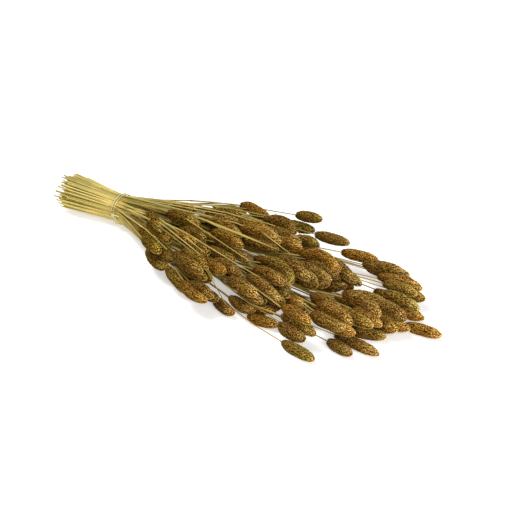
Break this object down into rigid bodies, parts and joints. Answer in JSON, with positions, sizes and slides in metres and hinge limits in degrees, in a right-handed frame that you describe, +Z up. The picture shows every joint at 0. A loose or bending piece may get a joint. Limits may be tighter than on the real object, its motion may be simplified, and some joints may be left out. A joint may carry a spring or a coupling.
{
  "type": "tied bunch of dried canary grass",
  "caption": "Lying bunch of dried canary grass: straw stalks fan out from a string tie, each ending in an oval golden brown seed head.",
  "frame": {"origin": "on the surface that the bunch lies on, under the middle of its box", "axes": "+X from the cut ends along the bunch to the tips of the heads, +Z up"},
  "size_m": [0.504, 0.1984, 0.0562],
  "materials": {
    "straw": "dry straw, satin, with fine lengthwise fibres",
    "seed_husk": "dry papery husks, matt, brown with pale gold tips",
    "twine": "twisted natural fibre string, matt"
  },
  "bodies": {
    "root": {"stalks": "straw", "tie": "twine", "seed_heads_01": "seed_husk", "seed_heads_02": "seed_husk", "seed_heads_03": "seed_husk", "seed_heads_04": "seed_husk", "seed_heads_05": "seed_husk", "seed_heads_06": "seed_husk", "seed_heads_07": "seed_husk", "seed_heads_08": "seed_husk", "seed_heads_09": "seed_husk", "seed_heads_10": "seed_husk", "seed_heads_11": "seed_husk", "seed_heads_12": "seed_husk", "seed_heads_13": "seed_husk", "seed_heads_14": "seed_husk", "seed_heads_15": "seed_husk", "seed_heads_16": "seed_husk", "seed_heads_17": "seed_husk", "seed_heads_18": "seed_husk", "seed_heads_19": "seed_husk", "seed_heads_20": "seed_husk", "seed_heads_21": "seed_husk", "seed_heads_22": "seed_husk", "seed_heads_23": "seed_husk", "seed_heads_24": "seed_husk", "seed_heads_25": "seed_husk", "seed_heads_26": "seed_husk", "seed_heads_27": "seed_husk", "seed_heads_28": "seed_husk", "seed_heads_29": "seed_husk", "seed_heads_30": "seed_husk", "seed_heads_31": "seed_husk", "seed_heads_32": "seed_husk", "seed_heads_33": "seed_husk", "seed_heads_34": "seed_husk", "seed_heads_35": "seed_husk", "seed_heads_36": "seed_husk", "seed_heads_37": "seed_husk", "seed_heads_38": "seed_husk", "seed_heads_39": "seed_husk", "seed_heads_40": "seed_husk", "stray_head_01": "seed_husk", "stray_head_02": "seed_husk", "stray_head_03": "seed_husk", "stray_head_04": "seed_husk", "stray_head_05": "seed_husk", "stray_head_06": "seed_husk", "stray_head_07": "seed_husk", "stray_head_08": "seed_husk", "stray_head_09": "seed_husk", "stray_head_10": "seed_husk", "stray_head_11": "seed_husk", "stray_head_12": "seed_husk", "stray_head_13": "seed_husk", "stray_head_14": "seed_husk", "stray_head_15": "seed_husk"}
  },
  "joints": []
}
